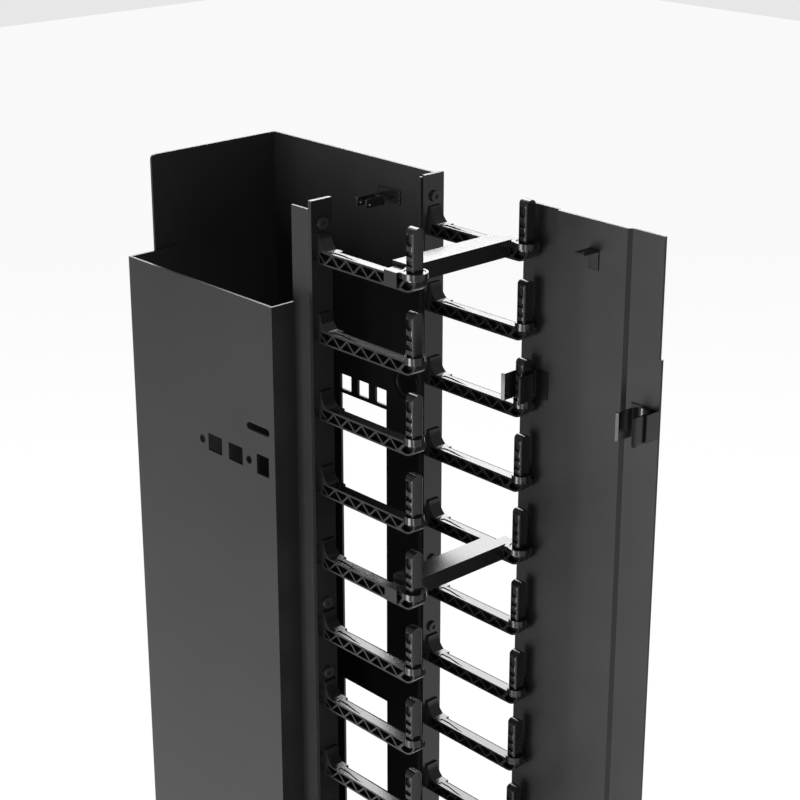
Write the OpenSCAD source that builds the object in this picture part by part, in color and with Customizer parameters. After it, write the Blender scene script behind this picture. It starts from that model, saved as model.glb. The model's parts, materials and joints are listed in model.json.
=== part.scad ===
/* [Rack rows] */
// Number of rack units that the cable manager spans, a multiple of four
rows = 24; // [16:4:28]
// Height of one rack unit, the pitch of the fingers
unit_h = 44.45; // [40:0.05:50]
// Every how many rows a retainer bar is fitted
retainer_every = 4; // [4:1:4]

/* [Trough] */
// Width over the outer faces of the two side walls
trough_w = 111.9; // [105:0.1:125]
// Depth from the rear face to the front face of the finger strips
trough_d = 147.8; // [120:0.1:180]
// Thickness of every folded steel sheet
sheet_t = 1.5; // [1:0.1:2]
// Distance from the left wall's outer face to the back wall's free edge
back_gap = 19.1; // [15:0.1:25]
// Radius of the back wall's free corners
corner_r = 3; // [1:0.5:6]
// Width of the back wall's strip that the left wall's rear flange covers
rear_lap = 16; // [10:1:25]
// Distance from the strip face back to the left wall's front flange
left_return_d = 14.7; // [10:0.1:20]
// Drop from the back wall's top to the left wall's top
left_drop = 57; // [20:1:90]
// Drop from the back wall's top to the left rail's top
rail_drop = 3.5; // [1:0.5:10]
// Width of the front rails behind the finger strips
rail_w = 14.4; // [12:0.1:18]

/* [Cutouts] */
// Side of the square holes in the right wall
square_s = 9.8; // [8:0.1:12]
// Pitch of the square holes in the right wall
square_pitch = 15.875; // [12:0.005:20]
// Depth from the strip face to the middle of the rearmost square hole
square_d = 82.1; // [70:0.1:95]
// Drop from the top to the middle of the right wall's square holes
square_drop = 145.5; // [100:0.5:160]
// Height of the steel left between the squares and the first window
window_bar = 2.5; // [2:0.5:6]
// Width of the cable windows in the right wall
window_w = 41.5; // [30:0.5:60]
// Number of cable windows in the right wall
windows = 4; // [2:1:4]
// Height of the steel left between two windows
window_gap = 30; // [10:1:60]
// Width of the square holes in the left wall
left_square_w = 12.7; // [10:0.1:14]
// Height of the square holes in the left wall
left_square_h = 10.5; // [8:0.1:12]
// Drop from the top to the middle of the left wall's square holes
left_square_drop = 151.6; // [120:0.1:160]
// Depths from the strip face to the middles of the two wide square holes
left_square_d = [68.7, 49.9];
// Depth from the strip face to the middle of the narrow square hole
narrow_square_d = 25.5; // [22:0.1:30]
// Width and height of the narrow square hole
narrow_square = [10.7, 12];
// Depths from the strip face to the two round fixing holes
fixing_d = [80.6, 37.9];
// Radius of the round fixing holes
fixing_r = 2.5; // [2:0.1:3]
// Depth from the strip face to the middle of the slot
slot_d = 29; // [25:0.5:35]
// Drop from the top to the middle of the slot
slot_drop = 130.9; // [100:0.1:140]
// Length and height of the slot
slot_size = [20, 4.6];
// Radius of the grommet hole in the right wall
plug_r = 9.6; // [6:0.1:12]
// Depth from the strip face to the middle of the grommet
plug_d = 28; // [24:0.5:34]
// Drop from the top to the middle of the grommet
plug_drop = 131; // [110:1:140]

/* [Fingers] */
// Distance between the centre lines of the two finger combs
comb_pitch = 81.2; // [75:0.1:90]
// Distance from the right wall's outer face in to the right comb's centre line
comb_inset = 6.75; // [5:0.05:9]
// Width of a strip on the outer side of the centre line
strip_out_w = 7.7; // [6:0.1:10]
// Width of a strip on the inner side of the centre line
strip_in_w = 6.65; // [5.5:0.05:9]
// Thickness of a strip
strip_t = 2.5; // [2:0.1:4]
// Height of a strip's top above the back wall's top
strip_rise = 1.3; // [0:0.1:3]
// Width of a finger to the left of its centre line
finger_left_w = 3.5; // [3:0.1:4]
// Width of a finger to the right of its centre line
finger_right_w = 4.8; // [4:0.1:5]
// Drop from a row's top to the top of its finger
finger_top = 25.9; // [24:0.1:28]
// Height of a finger
finger_h = 7.6; // [6:0.1:9]
// Drop from a row's top to the top of a finger's root
root_top = 16.9; // [12:0.1:20]
// Thickness of a finger's root at its top
root_t = 1.3; // [1:0.1:3]
// Radius of the curve from a finger's root to its top
root_r = 11; // [10:0.5:12]
// Distance from the strip face to the centre line of the posts
post_d = 71.4; // [65:0.1:80]
// Width of a post across the finger
post_w = 8; // [6:0.1:8.4]
// Thickness of a post along the finger
post_t = 6; // [5:0.1:6.4]
// Radius of a post's long edges
post_edge_r = 1.5; // [1:0.1:2]
// Rise of a post's dome above its row's top
post_rise = 0.6; // [0:0.1:2]
// Radius of the collar around a post's foot
collar_r = 5.4; // [5:0.05:5.5]
// Height of the collar around a post's foot
collar_h = 3; // [2:0.1:4]
// Thickness of the lattice ribs
rib_t = 1; // [0.8:0.1:1.4]
// Thickness of the finger's lower chord
chord_t = 1; // [0.8:0.1:1.4]
// Thickness of the finger's upper flange
flange_t = 1.1; // [0.8:0.1:1.6]
// Thickness of the finger's centre web
web_t = 1.4; // [1:0.1:2]
// Distance from the strip face to the first lower lattice joint
lattice_start = 6; // [5:0.1:8]
// Number of lattice bays
lattice_bays = 5; // [3:1:6]
// Depth of the grip notches in a post
notch_d = 1.4; // [0.5:0.1:1.8]
// Width of the grip notches in a post
notch_w = 4.2; // [3:0.1:4.6]
// Height of a short grip notch
notch_h = 2.8; // [2:0.1:3.2]
// Pitch of the short grip notches
notch_pitch = 5.1; // [4:0.1:5.4]

/* [Fasteners] */
// Radius of the strip screws' heads
screw_r = 3.25; // [2.5:0.05:4]
// Height of the strip screws' heads
screw_h = 1.6; // [1:0.1:2]
// Radius of the strip screws' shanks
shank_r = 1.5; // [1:0.1:2]
// Drop from a row's top to its strip screw
screw_drop = 11.6; // [9:0.1:13]
// Radius of the rivets' heads
rivet_r = 2.4; // [2:0.1:3]
// Height of the rivets' heads
rivet_h = 0.9; // [0.5:0.1:1.2]
// Radius of the rivets' shanks
rivet_shank_r = 1.2; // [1:0.1:1.5]
// Number of rivets in the left wall's rear flange
seam_rivets = 6; // [3:1:8]

/* [Door] */
// Distance from the hinge axis to the door's outer strips
strip_off = 8.1; // [7.6:0.1:9]
// Step between the door's strips and its middle panel
door_step = 2.2; // [1.8:0.1:3]
// Length of the slope between a strip and the middle panel
door_slope = 1.9; // [1.5:0.1:3]
// Reach of the door behind the hinge axis
door_tail = 9.7; // [8:0.1:11]
// Distance from the hinge axis to the slope on the hinge side
hinge_strip_w = 14.8; // [13:0.1:18]
// Distance from the hinge axis to the slope on the free side
free_strip_d = 66.2; // [60:0.1:70]
// Distance from the hinge axis to the door's free edge
door_reach = 88.5; // [85:0.1:95]
// Drop from the back wall's top to the door's top
door_drop = 3.4; // [2:0.1:8]
// Length of the free edge that is set back at each end
notch_len = 65; // [30:1:90]
// Amount that the free edge is set back at its ends
edge_notch = 1.5; // [0.5:0.1:3]
// Height of a door clip
clip_h = 15.5; // [10:0.5:20]
// Wall of a door clip
clip_t = 1; // [0.8:0.1:1.2]
// Inner radius of a door clip
clip_r = 4.8; // [4.7:0.05:5.2]
// Gap between a clip and the collar under it
clip_gap = 0.2; // [0.1:0.1:0.5]

/* [Retainer bars] */
// Drop from a row's top to the top of its retainer bar
bar_drop = 22; // [21:0.1:22.4]
// Depth of a retainer bar from front to back
bar_d = 14.5; // [10:0.5:16]
// Height of a retainer bar's front skirt
bar_h = 9.3; // [7:0.1:11]
// Wall of a retainer bar
bar_t = 1.6; // [1.2:0.1:2]
// Distance from the strip face to the front of a retainer bar
bar_front = 64.5; // [62:0.1:64.8]
// Gap between a retainer bar and the fingers that it rests on
seat_gap = 0.2; // [0.1:0.1:0.4]
// Outer radius of the ring around a post's foot
ring_r = 7; // [6.8:0.05:7.2]
// Gap between the ring and the post's collar
ring_gap = 0.3; // [0.2:0.1:0.4]

/* [Brackets] */
// Length of the two ears on the right wall's tie bracket
ear_len = 12; // [8:0.5:16]
// Width of an ear
ear_w = 5; // [4:0.1:6]
// Thickness of the small brackets
bracket_t = 1; // [0.8:0.1:1.5]
// Pitch of the two ears
ear_pitch = 7.8; // [6:0.1:10]
// Drop from the top to the tie bracket's ears
ear_drop = 20; // [14:0.5:26]
// Depth from the strip face to the front ear
ear_d = 44.8; // [40:0.1:50]
// Reach of the tie bracket's base from the right wall
ear_base = 8; // [4:0.5:12]
// Distance from the hinge axis to the tab on the door
tab_d = 39; // [30:0.5:50]
// Drop from the top to the door tab's top
tab_drop = 18.7; // [14:0.1:30]
// Width and reach of the door tab
tab_size = [7, 12];
// Height of the door tab's foot
tab_foot_h = 11; // [8:0.5:14]
// Radius of the holes in the small brackets
tie_hole_r = 1.1; // [0.8:0.1:1.5]

/* [Hidden] */
$fn = 48;

eps = 0.01;
total_h = rows * unit_h;
section_rows = rows / 4;
half_w = trough_w / 2;
face_y = -trough_d;
inner_x = half_w - sheet_t;
comb_x = [half_w - comb_inset - comb_pitch, half_w - comb_inset];
post_y = face_y - post_d;
post_r = norm([post_w / 2 - post_edge_r, post_t / 2 - post_edge_r]) + post_edge_r;
rail_y = face_y + strip_t;
clip_rows = [2, rows / 2 - 1, rows - 3];
left_rail_x = comb_x[0] - strip_out_w;
hinge = [comb_x[1], post_y];
strip_x = hinge[0] + strip_off;
window_top = square_drop + square_s / 2 + window_bar;
window_h = (total_h - 2 * window_top - (windows - 1) * window_gap) / windows;
window_y = face_y + square_d + square_s / 2 - window_w / 2;
steel = "#232425";
plastic = "#161617";

function row_z(i) = total_h - i * unit_h;

// Extrudes an outline drawn in Y and Z along X, from x0 over a width w
module side_cut(x0, w) {
    translate([x0, 0, 0]) rotate([90, 0, 90]) linear_extrude(w) children();
}

// Extrudes an outline drawn in X and Z along Y, from y0 over a depth d
module front_cut(y0, d) {
    translate([0, y0 + d, 0]) rotate([90, 0, 0]) linear_extrude(d) children();
}

module rounded_rect(size, r) {
    for (sx = [-1, 1], sy = [-1, 1])
        translate([sx * (size[0] / 2 - r), sy * (size[1] / 2 - r)]) circle(r);
    square([size[0] - 2 * r, size[1]], center = true);
    square([size[0], size[1] - 2 * r], center = true);
}

// Copies a cutout at a drop below the top, and again at the same height above the base
module both_ends(drop) {
    for (z = [total_h - drop, drop]) translate([0, z]) children();
}

// ---------- Trough ----------

// Plan of the back wall, the right wall and the right rail, folded from one sheet
module right_plan() {
    translate([-half_w + back_gap, -sheet_t]) square([trough_w - back_gap, sheet_t]);
    translate([inner_x, rail_y]) square([sheet_t, trough_d - strip_t]);
    translate([half_w - rail_w, rail_y]) square([rail_w, sheet_t]);
}

module right_wall_holes() {
    both_ends(square_drop)
        for (i = [0 : 2])
            translate([face_y + square_d - i * square_pitch, 0]) square(square_s, center = true);
    for (i = [0 : windows - 1])
        translate([window_y - window_w / 2, window_top + i * (window_h + window_gap)])
            square([window_w, window_h]);
    translate([face_y + plug_d, total_h - plug_drop]) circle(plug_r);
    for (s = [-1, 1])
        translate([face_y + bracket_rivet_d(s), total_h - ear_drop]) circle(rivet_shank_r);
}

module back_and_right_wall() {
    color(steel) difference() {
        linear_extrude(total_h) right_plan();
        side_cut(inner_x - eps, sheet_t + 2 * eps) right_wall_holes();
        for (z = [0, total_h])
            front_cut(-sheet_t - eps, sheet_t + 2 * eps) free_corner(z);
        seam_holes();
        screw_holes(1);
    }
}

// Rounds the back wall's free corner at one end
module free_corner(z) {
    s = z > 0 ? -1 : 1;
    translate([-half_w + back_gap, z]) difference() {
        translate([-eps, s > 0 ? -eps : -corner_r]) square(corner_r + eps);
        translate([corner_r, s * corner_r]) circle(corner_r);
    }
}

// Plan of the left wall from its rear flange round to the left rail
module left_plan() {
    translate([-half_w, -2 * sheet_t]) square([back_gap + rear_lap, sheet_t]);
    translate([-half_w, face_y + left_return_d])
        square([sheet_t, trough_d - left_return_d - sheet_t]);
    translate([-half_w, face_y + left_return_d])
        square([left_rail_x + half_w + sheet_t, sheet_t]);
}

module rail_plan() {
    translate([left_rail_x, rail_y]) square([sheet_t, left_return_d - strip_t + sheet_t]);
    translate([left_rail_x, rail_y]) square([rail_w, sheet_t]);
}

module left_wall_holes() {
    both_ends(left_square_drop) {
        for (d = left_square_d)
            translate([face_y + d, 0]) square([left_square_w, left_square_h], center = true);
        translate([face_y + narrow_square_d, 0]) square(narrow_square, center = true);
        for (d = fixing_d)
            translate([face_y + d, 0]) circle(fixing_r);
    }
    both_ends(slot_drop)
        translate([face_y + slot_d, 0]) rounded_rect(slot_size, slot_size[1] / 2 - eps);
}

module left_wall() {
    color(steel) difference() {
        union() {
            linear_extrude(total_h - left_drop) left_plan();
            linear_extrude(total_h - rail_drop) rail_plan();
        }
        side_cut(-half_w - eps, sheet_t + 2 * eps) left_wall_holes();
        seam_holes();
        screw_holes(0);
    }
}

// Heights of the rivets that join the left wall's rear flange to the back wall
function seam_z(i) = 30 + i * (total_h - left_drop - 60) / (seam_rivets - 1);
seam_x = -half_w + back_gap + rear_lap / 2;

module seam_holes() {
    for (i = [0 : seam_rivets - 1])
        translate([seam_x, eps, seam_z(i)]) rotate([90, 0, 0])
            cylinder(r = rivet_shank_r, h = 2 * sheet_t + 2 * eps);
}

module seam_rivets_rear() {
    color(steel) for (i = [0 : seam_rivets - 1])
        translate([seam_x, 0, seam_z(i)]) {
            translate([0, -2 * sheet_t, 0]) rotate([90, 0, 0]) cylinder(r = rivet_r, h = rivet_h);
            rotate([90, 0, 0]) cylinder(r = rivet_shank_r, h = 2 * sheet_t);
        }
}

// Plastic grommet that closes the round hole in the right wall
module wall_grommet() {
    color(plastic)
        translate([inner_x - rivet_h, face_y + plug_d, total_h - plug_drop]) rotate([0, 90, 0])
            difference() {
                union() {
                    cylinder(r = plug_r + 1, h = rivet_h);
                    cylinder(r = plug_r, h = rivet_h + sheet_t);
                }
                translate([0, 0, -eps]) cylinder(r = plug_r - 2, h = rivet_h);
            }
}

// ---------- Finger combs ----------

root_rib = 1.3;
notch_top = 5.6;
long_notch_h = 6.6;
short_notch_top = 12.8;
lattice_pitch = (post_d - post_w / 2 - lattice_start) / (lattice_bays + 0.45);
pocket_low = -finger_top - finger_h + chord_t;
pocket_high = -finger_top - flange_t;
pocket_h = pocket_high - pocket_low;
tip_d = post_d - 3;

// Side outline of one finger: root, beam and rounded tip, with distance forward as first value
module finger_outline() {
    low = -finger_top - finger_h;
    translate([0, low]) square([tip_d, finger_h]);
    intersection() {
        translate([tip_d, -finger_top]) circle(finger_h);
        translate([tip_d - eps, low]) square([finger_h + eps, finger_h]);
    }
    difference() {
        translate([0, -finger_top - eps]) square([root_t + root_r, finger_top - root_top + eps]);
        translate([root_t + root_r, -root_top]) circle(root_r);
    }
}

// One triangular pocket of the lattice, standing on its base or hanging from it
module pocket(mid, up) {
    half = lattice_pitch / 2;
    inset = rib_t / 2 * norm([pocket_h, half]) / pocket_h;
    apex = pocket_h * (half - inset) / half;
    base = up ? pocket_low : pocket_high;
    s = up ? 1 : -1;
    polygon([[mid - half + inset, base], [mid + half - inset, base], [mid, base + s * apex]]);
}

module finger_pockets() {
    last = lattice_start + lattice_bays * lattice_pitch;
    intersection() {
        for (k = [-1 : lattice_bays]) {
            low = lattice_start + k * lattice_pitch;
            if (k < lattice_bays) pocket(low + lattice_pitch / 2, true);
            if (k >= 0) pocket(low, false);
        }
        translate([root_rib, -2 * root_r - finger_top]) square([post_d, 4 * root_r]);
    }
    intersection() {
        translate([tip_d, -finger_top]) circle(finger_h - chord_t);
        translate([last + rib_t, pocket_low - rib_t]) polygon([[0, 0],
            [lattice_pitch / 2, pocket_h + rib_t], [2 * lattice_pitch, pocket_h + rib_t],
            [2 * lattice_pitch, 0]]);
    }
}

// Turns outlines drawn forward of the strip face into the row frame
module forward() {
    translate([face_y, 0]) mirror([1, 0]) children();
}

module grip_notches() {
    side = post_w / 2 - notch_d;
    for (s = [-1, 1])
        side_cut(s > 0 ? side : -post_w / 2 - eps, notch_d + eps) {
            translate([post_y, -notch_top]) rounded_rect([notch_w, long_notch_h], notch_w / 2 - eps);
            for (i = [0 : 2])
                translate([post_y, -short_notch_top - i * notch_pitch])
                    square([notch_w, notch_h], center = true);
        }
}

module post() {
    dome = post_w / 2;
    foot = -finger_top - flange_t;
    difference() {
        intersection() {
            translate([0, post_y, foot]) linear_extrude(post_rise - foot)
                rounded_rect([post_w, post_t], post_edge_r);
            front_cut(post_y - post_t, 2 * post_t) {
                translate([0, post_rise - dome]) circle(dome);
                translate([-dome, foot]) square([post_w, post_rise - dome - foot]);
            }
        }
        grip_notches();
    }
}

// One finger at its row's top, on its comb's centre line
module finger() {
    mid = (finger_right_w - finger_left_w) / 2;
    full = finger_left_w + finger_right_w;
    difference() {
        side_cut(-finger_left_w, full) forward() difference() {
            finger_outline();
            finger_pockets();
        }
        crown_cut();
        root_groove();
    }
    side_cut(mid - web_t / 2, web_t) forward() finger_outline();
    post();
    translate([0, post_y, -finger_top - flange_t]) cylinder(r = collar_r, h = collar_h + flange_t);
}

// Rounds the upper right edge of a finger behind its post
module crown_cut() {
    r = 3;
    run = post_d - post_t / 2 - collar_r;
    front_cut(face_y - run, run - root_r)
        difference() {
            translate([finger_right_w - r, -finger_top - r]) square(r + 1);
            translate([finger_right_w - r, -finger_top - r]) circle(r);
        }
}

// Shallow tapering recess beside the upper left lip of a finger
module root_groove() {
    translate([0, 0, -finger_top - 0.5]) linear_extrude(1)
        polygon([[-finger_left_w + 0.9, face_y - root_r + 1], [0.9, face_y - root_r + 1],
                 [-finger_left_w + 1.2, face_y - root_r - 20]]);
}

module comb(side, section) {
    x = comb_x[side];
    left = side == 0 ? strip_out_w : strip_in_w;
    top = row_z(section * section_rows) + (section == 0 ? strip_rise : 0);
    low = row_z((section + 1) * section_rows);
    color(plastic) difference() {
        union() {
            translate([x - left, face_y, low])
                cube([strip_out_w + strip_in_w, strip_t, top - low]);
            for (i = [0 : section_rows - 1])
                translate([x, 0, row_z(section * section_rows + i)]) finger();
        }
        screw_holes(side);
    }
}

// Every place of a strip screw: on the first and the last row of each section
module at_screws(side) {
    for (k = [0 : 3], i = [0, section_rows - 1])
        translate([comb_x[side] - (side == 0 ? 0.5 : -0.5), face_y,
                   row_z(k * section_rows + i) - screw_drop]) children();
}

module screw_holes(side) {
    at_screws(side) translate([0, -eps, 0]) rotate([-90, 0, 0])
        cylinder(r = shank_r, h = strip_t + sheet_t + 2 * eps);
}

module comb_screws() {
    color(steel) for (side = [0, 1]) at_screws(side) {
        difference() {
            rotate([90, 0, 0]) cylinder(r = screw_r, h = screw_h);
            translate([0, -screw_h + 0.8, 0]) rotate([90, 0, 0]) cylinder(r = 1.5, h = 1, $fn = 6);
        }
        rotate([-90, 0, 0]) cylinder(r = shank_r, h = strip_t + sheet_t);
    }
}

// ---------- Retainer bars ----------

bar_plan_x = [4.4, comb_pitch - 4.4];
hook_w = 9.4;
hook_y = face_y - bar_front + 1.4;
hook_t = 1.1;
hook_gap = 0.4;
ring_h = 3.2;

// One end of a bar: a hook over the finger, whose outer side lies at finger_side from the comb's
// centre line, and a ring round the post's foot
module bar_end(finger_side) {
    low = -finger_top + seat_gap;
    reach = finger_side + hook_gap + hook_t;
    translate([-reach, hook_y, low]) cube([reach + bar_plan_x[0] + bar_t, hook_w, bar_t]);
    translate([-reach, hook_y, -finger_top - finger_h + 0.9]) cube([hook_t, hook_w, finger_h]);
    translate([0, post_y, low]) difference() {
        union() {
            cylinder(r = ring_r, h = ring_h);
            translate([-3.2, 0, 0]) cube([bar_plan_x[0] + 5, ring_r + 1.2, bar_t]);
            cube([bar_plan_x[0] + bar_t, ring_r + 1.2, ring_h]);
        }
        translate([0, 0, -eps]) cylinder(r = collar_r + ring_gap, h = ring_h + 1);
    }
}

module retainer(i) {
    y0 = face_y - bar_front;
    color(plastic) translate([comb_x[0], 0, row_z(i)]) {
        difference() {
            translate([bar_plan_x[0], y0, -bar_drop - bar_h])
                cube([bar_plan_x[1] - bar_plan_x[0], bar_d, bar_h]);
            translate([finger_right_w + seat_gap, y0 + bar_t, -bar_drop - bar_h - eps])
                cube([comb_pitch - finger_left_w - finger_right_w - 2 * seat_gap,
                      bar_d - 2 * bar_t, bar_h - bar_t + eps]);
            bar_relief(0);
            bar_relief(comb_pitch);
        }
        bar_end(finger_left_w);
        translate([comb_pitch, 0, 0]) mirror([1, 0, 0]) bar_end(finger_right_w);
    }
}

// Room in a bar for the finger at one end
module bar_relief(x) {
    side = finger_right_w + seat_gap;
    translate([x - side, face_y - bar_front - 1, -bar_drop - bar_h - 1])
        cube([2 * side, bar_d + 2, bar_h + 1 - (finger_top - seat_gap - bar_drop)]);
}

// ---------- Door ----------

clip_arm = 4;
clip_plate = 10.8;
clip_leg = door_reach - comb_pitch;
clip_rivet_d = 8.4;

// Plan of the door sheet: two outer strips joined to a middle panel set back towards the posts
module door_plan() {
    x1 = strip_x;
    x2 = strip_x - door_step;
    y = hinge[1];
    face = [[x1, y + door_tail], [x1, y - hinge_strip_w],
            [x2, y - hinge_strip_w - door_slope], [x2, y - free_strip_d + door_slope],
            [x1, y - free_strip_d], [x1, y - door_reach]];
    back = [for (i = [len(face) - 1 : -1 : 0]) face[i] + [sheet_t, 0]];
    polygon(concat(face, back));
}

module door_panel() {
    top = total_h - door_drop;
    color(steel) difference() {
        translate([0, 0, door_drop]) linear_extrude(total_h - 2 * door_drop) door_plan();
        for (z = [door_drop - eps, top - notch_len])
            translate([strip_x - 1, hinge[1] - door_reach - eps, z])
                cube([sheet_t + 2, edge_notch + eps, notch_len + eps]);
        at_clip_rivets(-eps) cylinder(r = rivet_shank_r, h = sheet_t + 2 * eps);
        at_tab_rivets(-eps) cylinder(r = rivet_shank_r, h = sheet_t + 2 * eps);
    }
}

// Plan of a door clip about the post that it grips; its mouth opens towards -X
module clip_plan() {
    base_x = strip_off - clip_t;
    difference() {
        circle(clip_r + clip_t);
        circle(clip_r);
        translate([-2 * clip_r, -2 * clip_r]) square([2 * clip_r, 4 * clip_r]);
    }
    for (s = [-1, 1])
        translate([-clip_arm, s > 0 ? clip_r : -clip_r - clip_t]) square([clip_arm + eps, clip_t]);
    polygon([[-clip_arm + eps, -clip_r - clip_t], [-clip_arm + eps, -clip_r],
             [-9.2, -clip_r - 0.05], [-10.2, -clip_r - 1.4], [-9.5, -clip_r - 2.1],
             [-8.4, -clip_r - clip_t]]);
    polygon([[-clip_arm + eps, clip_r], [-clip_arm + eps, clip_r + clip_t], [-8.8, clip_r + 0.9],
             [-9.4, clip_r + 2.5], [-10.3, clip_r + 2.1], [-9.8, clip_r - 0.2]]);
    translate([base_x, -clip_plate]) square([clip_t, clip_plate + clip_leg]);
    translate([clip_r + clip_t / 2, -clip_r / 2]) square([base_x - clip_r, clip_r]);
}

// The catch side's clip also has a leg along the door's free edge
module catch_clip_plan() {
    clip_plan();
    translate([-1.3, clip_leg - clip_t]) square([strip_off + 1.3, clip_t]);
}

// A clip whose plan is mirrored on the hinge side, with its pocket on a post's axis
module door_clip(i, reach) {
    low = row_z(i) - finger_top + collar_h + clip_gap;
    color(plastic) translate([hinge[0], hinge[1] - reach, low]) linear_extrude(clip_h)
        if (reach > 0) mirror([0, 1]) catch_clip_plan();
        else clip_plan();
}

// Places on the door's strips where the clips are riveted
module at_clip_rivets(x) {
    for (i = clip_rows, y = [hinge[1] - clip_rivet_d, hinge[1] - comb_pitch + clip_rivet_d])
        translate([strip_x + x, y, row_z(i) - finger_top + collar_h + clip_h / 2])
            rotate([0, 90, 0]) children();
}

module door_clip_rivets() {
    color(steel) at_clip_rivets(0) {
        cylinder(r = rivet_shank_r, h = sheet_t);
        translate([0, 0, sheet_t]) cylinder(r = rivet_r, h = rivet_h);
    }
}

// ---------- Small brackets ----------

function bracket_rivet_d(s) = ear_d - ear_w / 2 - ear_pitch / 2 + 4 + s * 6.6;

// Tie bracket: a foot on the right wall, a shelf, and two ears with tie holes
module tie_bracket() {
    z = total_h - ear_drop;
    ear_x = inner_x - ear_base - ear_len;
    ear_y = face_y + ear_d - ear_w;
    color(steel) difference() {
        union() {
            translate([inner_x - bracket_t, face_y + bracket_rivet_d(-1) - 3, z - 4])
                cube([bracket_t, 2 * 6.6 + 6, 8]);
            translate([inner_x - ear_base, face_y + bracket_rivet_d(0) - 6, z])
                cube([ear_base, 12, bracket_t]);
            for (k = [0, 1])
                translate([ear_x, ear_y + k * ear_pitch, z - ear_w + bracket_t])
                    cube([ear_len + 2, bracket_t, ear_w]);
        }
        for (k = [0, 1])
            translate([ear_x + ear_w / 2, ear_y + k * ear_pitch - 1, z - ear_w / 2 + bracket_t])
                rotate([-90, 0, 0]) cylinder(r = tie_hole_r, h = bracket_t + 2);
    }
}

module tie_bracket_rivets() {
    color(steel) for (s = [-1, 1])
        translate([inner_x, face_y + bracket_rivet_d(s), total_h - ear_drop]) rotate([0, 90, 0]) {
            cylinder(r = rivet_shank_r, h = sheet_t);
            translate([0, 0, sheet_t]) cylinder(r = rivet_r, h = rivet_h);
        }
}

// Door tab: an upright foot on the door's middle panel and a flat tongue with a tie hole
module door_tab() {
    x = strip_x - door_step;
    y = hinge[1] - tab_d;
    z = total_h - tab_drop;
    color(steel) difference() {
        union() {
            translate([x - bracket_t, y - tab_size[0], z - tab_foot_h])
                cube([bracket_t, tab_size[0], tab_foot_h]);
            translate([x - tab_size[1], y - tab_size[0], z - bracket_t])
                cube([tab_size[1], tab_size[0], bracket_t]);
        }
        translate([x - tab_size[1] + 2.6, y - tab_size[0] / 2, z - bracket_t - eps])
            cylinder(r = tie_hole_r, h = bracket_t + 2 * eps);
    }
}

module at_tab_rivets(x) {
    for (k = [0, 1])
        translate([strip_x - door_step + x, hinge[1] - tab_d - tab_size[0] / 2,
                   total_h - tab_drop - tab_foot_h / 2 + (k - 0.5) * 5])
            rotate([0, 90, 0]) children();
}

module door_tab_rivets() {
    color(steel) at_tab_rivets(0) {
        cylinder(r = rivet_shank_r, h = sheet_t);
        translate([0, 0, sheet_t]) cylinder(r = rivet_r, h = rivet_h);
    }
}

back_and_right_wall();
left_wall();
comb(0, 0);  // left_comb_1
comb(0, 1);  // left_comb_2
comb(0, 2);  // left_comb_3
comb(0, 3);  // left_comb_4
comb(1, 0);  // right_comb_1
comb(1, 1);  // right_comb_2
comb(1, 2);  // right_comb_3
comb(1, 3);  // right_comb_4
comb_screws();
seam_rivets_rear();
wall_grommet();
tie_bracket();
tie_bracket_rivets();
retainer(0);  // retainer_1
retainer(retainer_every);  // retainer_2
retainer(2 * retainer_every);  // retainer_3
retainer(3 * retainer_every);  // retainer_4
retainer(4 * retainer_every);  // retainer_5
retainer(5 * retainer_every);  // retainer_6
door_panel();
door_clip(clip_rows[0], 0);  // hinge_clip_top
door_clip(clip_rows[1], 0);  // hinge_clip_middle
door_clip(clip_rows[2], 0);  // hinge_clip_bottom
door_clip(clip_rows[0], comb_pitch);  // catch_clip_top
door_clip(clip_rows[1], comb_pitch);  // catch_clip_middle
door_clip(clip_rows[2], comb_pitch);  // catch_clip_bottom
door_clip_rivets();
door_tab();
door_tab_rivets();
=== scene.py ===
"""Looks of a vertical cable manager: finish of the folded steel, the moulded combs and the small hardware."""

import json
import math

import bmesh
import bpy
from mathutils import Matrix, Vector


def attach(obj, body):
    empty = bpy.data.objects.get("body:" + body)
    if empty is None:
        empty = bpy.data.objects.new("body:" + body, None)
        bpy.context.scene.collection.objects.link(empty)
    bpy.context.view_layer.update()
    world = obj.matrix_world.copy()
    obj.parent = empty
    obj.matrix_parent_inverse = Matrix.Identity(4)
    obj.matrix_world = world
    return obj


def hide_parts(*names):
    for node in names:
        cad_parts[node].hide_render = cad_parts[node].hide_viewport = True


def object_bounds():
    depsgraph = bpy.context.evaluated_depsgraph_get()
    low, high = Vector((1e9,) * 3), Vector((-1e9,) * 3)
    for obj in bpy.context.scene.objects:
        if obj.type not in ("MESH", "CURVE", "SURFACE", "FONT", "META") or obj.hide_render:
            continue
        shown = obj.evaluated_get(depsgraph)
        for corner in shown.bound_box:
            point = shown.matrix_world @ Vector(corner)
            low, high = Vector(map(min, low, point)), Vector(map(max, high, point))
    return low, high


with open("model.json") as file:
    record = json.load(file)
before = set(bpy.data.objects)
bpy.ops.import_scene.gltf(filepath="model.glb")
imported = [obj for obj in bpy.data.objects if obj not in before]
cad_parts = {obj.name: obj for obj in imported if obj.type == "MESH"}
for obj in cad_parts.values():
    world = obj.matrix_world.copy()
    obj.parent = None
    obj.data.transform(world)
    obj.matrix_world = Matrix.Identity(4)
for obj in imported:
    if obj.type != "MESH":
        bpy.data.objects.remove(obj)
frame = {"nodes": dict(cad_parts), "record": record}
cad_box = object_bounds()

# ---------- Sizes, finishes and lights ----------

MM = 0.001
TOP = cad_box[1].z

# Camera: place in mm from the middle of the rear face at the top, turn and tilt in degrees, lens in mm
EYE = (-650.42, -879.58, 251.53)
YAW = 47.35
PITCH = 19.38
LENS = 84.5811
SHIFT_Y = -0.06

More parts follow.
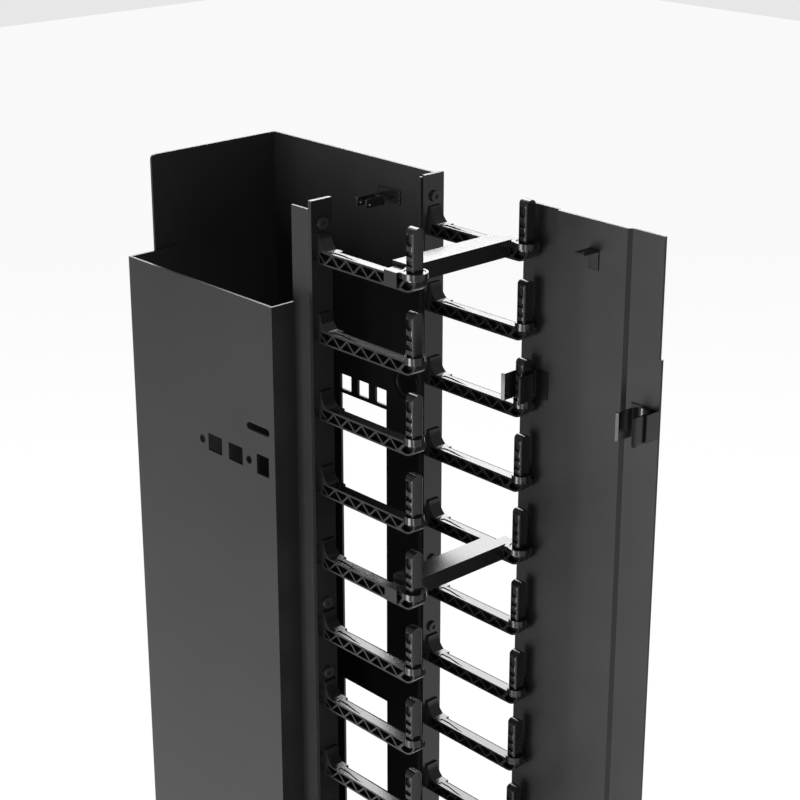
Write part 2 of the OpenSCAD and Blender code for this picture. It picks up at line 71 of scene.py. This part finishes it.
# Floor and surroundings
FLOOR_SIZE = 6.0
FLOOR_GAP = 0.0005
FLOOR_COLOUR = (0.9, 0.9, 0.9)
FLOOR_ROUGHNESS = 0.9
FLOOR_GLOW = 0.92
FLOOR_GLOSS = 0.3
WORLD_LIGHT = 0.4
WORLD_GLOSS = 0.35

# Soft lights: name, place, aim, width and height in metres, power in watts
LIGHTS = [
    ("back_box", (1.35, 1.5, TOP + 1.25), (0, -0.2, TOP - 0.1), (2.6, 1.3), 85),
    ("left_box", (-1.6, 0.05, TOP - 0.5), (0.05, -0.28, TOP - 0.25), (0.7, 1.2), 32),
    ("edge_box", (-1.15, -1.05, TOP - 0.6), (0, -0.15, TOP - 0.3), (0.12, 0.9), 3.5),
    ("key_box", (-0.5, -1.6, TOP + 1.5), (0, -0.15, TOP - 0.2), (0.8, 0.8), 5),
]

# Finishes: colour, roughness, grain scale, drift, strength of the relief, specular level
FINISHES = {
    "powder_coat": ((0.012, 0.012, 0.013), 0.36, 1400, 0.10, 0.25, 0.36),
    "moulded_plastic": ((0.008, 0.008, 0.009), 0.22, 700, 0.08, 0.12, 0.5),
    "black_zinc": ((0.015, 0.015, 0.016), 0.30, 900, 0.08, 0.10, 0.5),
}
RELIEF_DEPTH = 0.0002
CELL_SHARE = 0.35
CLOUD_SPAN = (0.3, 0.7)

# Rounding of sharp edges: largest radius in mm and number of steps. The overlap clamp holds a whole
# piece to what its shortest edges allow, so only rivets and the grommet reach the radius given here:
# sheets get about 0.02 mm, bars 0.04, clips 0.01, and combs less than 0.01
SHEET_EDGE = (0.5, 3)
MOULDED_EDGE = (0.25, 2)
SMALL_PART_EDGE = (0.3, 2)
HEAD_EDGE = (0.35, 3)
SHARP_ANGLE = 30
FLAT_ANGLE = 1
MERGE_DISTANCE = 1e-6

# ---------- The frame's nodes by kind ----------

NODES = frame["nodes"]
BODY_OF = {n: b for b, names in frame["record"]["behaviour"]["bodies"].items() for n in names}
SLOT_OF = {s["node"]: s["material_slot"] for s in frame["record"]["subparts"]}
SHEETS = ["back_and_right_wall", "left_wall", "door_panel"]
COMBS = sorted(n for n in NODES if "_comb_" in n)
BARS = sorted(n for n in NODES if n.startswith("retainer_"))
CLIPS = sorted(n for n in NODES if "_clip_" in n and n != "door_clip_rivets")
SMALL_PARTS = ["tie_bracket", "door_tab", "wall_grommet"]
FASTENERS = [n for n in NODES if SLOT_OF[n] in ("screws", "rivets")]


# ---------- Camera ----------

def make_camera():
    """Looks from the front left and above at the upper rows of fingers."""
    data = bpy.data.cameras.new("camera")
    data.lens = LENS
    data.shift_y = SHIFT_Y
    camera = bpy.data.objects.new("camera", data)
    x, y, z = EYE
    camera.location = (x * MM, y * MM, TOP + z * MM)
    camera.rotation_euler = (math.radians(90 - PITCH), 0, math.radians(YAW - 90))
    bpy.context.scene.collection.objects.link(camera)
    bpy.context.scene.camera = camera


# ---------- Shader building ----------

def new_material(name):
    mat = bpy.data.materials.new(name)
    mat.use_nodes = True
    return mat, mat.node_tree, mat.node_tree.nodes["Principled BSDF"]


def float_socket(tree, name, side, value=0.0):
    socket = tree.interface.new_socket(name, in_out=side, socket_type="NodeSocketFloat")
    if side == "INPUT":
        socket.default_value = value


def math_node(tree, operation, slot, constant):
    """A Math node with one of its inputs set."""
    node = tree.nodes.new("ShaderNodeMath")
    node.operation = operation
    node.inputs[slot].default_value = constant
    return node


def coat_texture_group():
    """Orange peel and faint cloudiness of a powder coat or a moulded skin, from object coordinates."""
    tree = bpy.data.node_groups.new("coat_texture", "ShaderNodeTree")
    float_socket(tree, "Grain scale", "INPUT", 900.0)
    float_socket(tree, "Cloud scale", "INPUT", 14.0)
    float_socket(tree, "Cloud amount", "INPUT", 0.12)
    float_socket(tree, "Grain", "OUTPUT")
    float_socket(tree, "Cloud", "OUTPUT")
    n, link = tree.nodes, tree.links.new
    inp, out = n.new("NodeGroupInput"), n.new("NodeGroupOutput")
    coords = n.new("ShaderNodeTexCoord")
    grain = n.new("ShaderNodeTexNoise")
    grain.inputs["Detail"].default_value = 2.0
    fine = n.new("ShaderNodeTexVoronoi")
    cloud = n.new("ShaderNodeTexNoise")
    cloud.inputs["Detail"].default_value = 3.0
    for texture, scale in ((grain, "Grain scale"), (fine, "Grain scale"), (cloud, "Cloud scale")):
        link(coords.outputs["Object"], texture.inputs["Vector"])
        link(inp.outputs[scale], texture.inputs["Scale"])
    mixed = math_node(tree, "MULTIPLY_ADD", 1, CELL_SHARE)
    link(fine.outputs["Distance"], mixed.inputs[0])
    link(grain.outputs["Fac"], mixed.inputs[2])
    link(mixed.outputs[0], out.inputs["Grain"])
    spread = n.new("ShaderNodeMapRange")
    spread.inputs["From Min"].default_value, spread.inputs["From Max"].default_value = CLOUD_SPAN
    link(cloud.outputs["Fac"], spread.inputs["Value"])
    for operation, end in (("SUBTRACT", "To Min"), ("ADD", "To Max")):
        limit = math_node(tree, operation, 0, 1.0)
        link(inp.outputs["Cloud amount"], limit.inputs[1])
        link(limit.outputs[0], spread.inputs[end])
    link(spread.outputs["Result"], out.inputs["Cloud"])
    return tree


def coated_material(name, group):
    """A black finish: its colour and gloss drift a little, and its skin has a fine relief."""
    colour, roughness, grain_scale, drift, bump, specular = FINISHES[name]
    mat, tree, shader = new_material(name)
    n, link = tree.nodes, tree.links.new
    texture = n.new("ShaderNodeGroup")
    texture.node_tree = group
    texture.inputs["Grain scale"].default_value = grain_scale
    texture.inputs["Cloud amount"].default_value = drift
    tint = n.new("ShaderNodeMix")
    tint.data_type = "RGBA"
    tint.inputs["A"].default_value = (*[c * (1 - drift) for c in colour], 1)
    tint.inputs["B"].default_value = (*[c * (1 + drift) for c in colour], 1)
    grade = n.new("ShaderNodeMapRange")
    grade.inputs["From Min"].default_value = 1 - drift
    grade.inputs["From Max"].default_value = 1 + drift
    link(texture.outputs["Cloud"], grade.inputs["Value"])
    link(grade.outputs["Result"], tint.inputs["Factor"])
    link(tint.outputs["Result"], shader.inputs["Base Color"])
    gloss = math_node(tree, "MULTIPLY", 1, roughness)
    link(texture.outputs["Cloud"], gloss.inputs[0])
    link(gloss.outputs[0], shader.inputs["Roughness"])
    relief = n.new("ShaderNodeBump")
    relief.inputs["Strength"].default_value = bump
    relief.inputs["Distance"].default_value = RELIEF_DEPTH
    link(texture.outputs["Grain"], relief.inputs["Height"])
    link(relief.outputs["Normal"], shader.inputs["Normal"])
    shader.inputs["Specular IOR Level"].default_value = specular
    return mat


# ---------- Pieces from the frame ----------

def set_material(obj, mat):
    obj.data.materials.clear()
    obj.data.materials.append(mat)


def merged_mesh(node):
    """A copy of a node's mesh with its corners joined and its flat faces made whole."""
    mesh = NODES[node].data.copy()
    mesh.name = node + "_shape"
    bm = bmesh.new()
    bm.from_mesh(mesh)
    bmesh.ops.remove_doubles(bm, verts=bm.verts, dist=MERGE_DISTANCE)
    bmesh.ops.dissolve_limit(bm, angle_limit=math.radians(FLAT_ANGLE), verts=bm.verts, edges=bm.edges)
    bm.to_mesh(mesh)
    bm.free()
    for poly in mesh.polygons:
        poly.use_smooth = True
    return mesh


def soften(node, mat, edge):
    """Makes the piece that stands for a rigid node: its copy, its edges rounded as far as the clamp lets them."""
    radius, steps = edge
    piece = bpy.data.objects.new(node + "_finished", merged_mesh(node))
    bpy.context.scene.collection.objects.link(piece)
    bevel = piece.modifiers.new("round", "BEVEL")
    bevel.width = radius * MM
    bevel.segments = steps
    bevel.limit_method = "ANGLE"
    bevel.angle_limit = math.radians(SHARP_ANGLE)
    bevel.use_clamp_overlap = True
    weighted = piece.modifiers.new("even_normals", "WEIGHTED_NORMAL")
    weighted.weight = 100
    weighted.keep_sharp = True
    set_material(piece, mat)
    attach(piece, BODY_OF[node])
    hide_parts(node)


# ---------- Stage and lights ----------

def glow_over(mat):
    """Adds a white glow that the camera sees nearly whole and gloss sees weakly, over the lit surface."""
    tree = mat.node_tree
    n, link = tree.nodes, tree.links.new
    glow = n.new("ShaderNodeEmission")
    glow.inputs["Strength"].default_value = 1.0
    path = n.new("ShaderNodeLightPath")
    eye = math_node(tree, "MULTIPLY", 1, FLOOR_GLOW)
    link(path.outputs["Is Camera Ray"], eye.inputs[0])
    gloss = math_node(tree, "MULTIPLY", 1, FLOOR_GLOSS)
    link(path.outputs["Is Glossy Ray"], gloss.inputs[0])
    either = math_node(tree, "MAXIMUM", 0, 0.0)
    link(gloss.outputs[0], either.inputs[0])
    link(eye.outputs[0], either.inputs[1])
    share = math_node(tree, "MAXIMUM", 0, 0.0)
    link(either.outputs[0], share.inputs[0])
    link(path.outputs["Is Transmission Ray"], share.inputs[1])
    mix = n.new("ShaderNodeMixShader")
    link(share.outputs[0], mix.inputs[0])
    link(n["Principled BSDF"].outputs[0], mix.inputs[1])
    link(glow.outputs[0], mix.inputs[2])
    link(mix.outputs[0], n["Material Output"].inputs["Surface"])


def make_stage():
    """A plain pale floor just under the object."""
    s, z = FLOOR_SIZE, cad_box[0].z - FLOOR_GAP
    mesh = bpy.data.meshes.new("floor")
    mesh.from_pydata([(-s, -s, z), (s, -s, z), (s, s, z), (-s, s, z)], [], [(0, 1, 2, 3)])
    floor = bpy.data.objects.new("floor", mesh)
    bpy.context.scene.collection.objects.link(floor)
    mat, _, shader = new_material("floor_white")
    shader.inputs["Base Color"].default_value = (*FLOOR_COLOUR, 1)
    shader.inputs["Roughness"].default_value = FLOOR_ROUGHNESS
    glow_over(mat)
    set_material(floor, mat)


def make_world():
    """Even light all round, fainter in gloss. The camera sees it as pale grey, a little below white."""
    world = bpy.data.worlds.new("studio")
    bpy.context.scene.world = world
    world.use_nodes = True
    tree = world.node_tree
    n, link = tree.nodes, tree.links.new
    soft = n["Background"]
    soft.inputs["Color"].default_value = (1, 1, 1, 1)
    soft.inputs["Strength"].default_value = WORLD_LIGHT
    gloss = n.new("ShaderNodeBackground")
    gloss.inputs["Strength"].default_value = WORLD_GLOSS
    pale = n.new("ShaderNodeBackground")
    pale.inputs["Strength"].default_value = 1.0
    path = n.new("ShaderNodeLightPath")
    shown = soft
    for ray, other in (("Is Glossy Ray", gloss), ("Is Camera Ray", pale)):
        mix = n.new("ShaderNodeMixShader")
        link(path.outputs[ray], mix.inputs[0])
        link(shown.outputs[0], mix.inputs[1])
        link(other.outputs[0], mix.inputs[2])
        shown = mix
    link(shown.outputs[0], n["World Output"].inputs["Surface"])


def softbox(name, place, target, size, power):
    data = bpy.data.lights.new(name, "AREA")
    data.shape = "RECTANGLE"
    data.size, data.size_y = size
    data.energy = power
    light = bpy.data.objects.new(name, data)
    light.location = place
    aim = Vector(target) - Vector(place)
    light.rotation_euler = aim.to_track_quat("-Z", "Y").to_euler()
    bpy.context.scene.collection.objects.link(light)


# ---------- The scene ----------

make_camera()
make_world()
make_stage()

texture = coat_texture_group()
steel = coated_material("powder_coat", texture)
plastic = coated_material("moulded_plastic", texture)
black_zinc = coated_material("black_zinc", texture)

for node in SHEETS:
    soften(node, steel, SHEET_EDGE)
for node in COMBS + BARS + CLIPS:
    soften(node, plastic, MOULDED_EDGE)
for node in SMALL_PARTS:
    soften(node, steel if SLOT_OF[node] == "steel" else plastic, SMALL_PART_EDGE)
for node in FASTENERS:
    soften(node, black_zinc, HEAD_EDGE)

for light in LIGHTS:
    softbox(*light)

bpy.context.scene.view_settings.view_transform = "Standard"
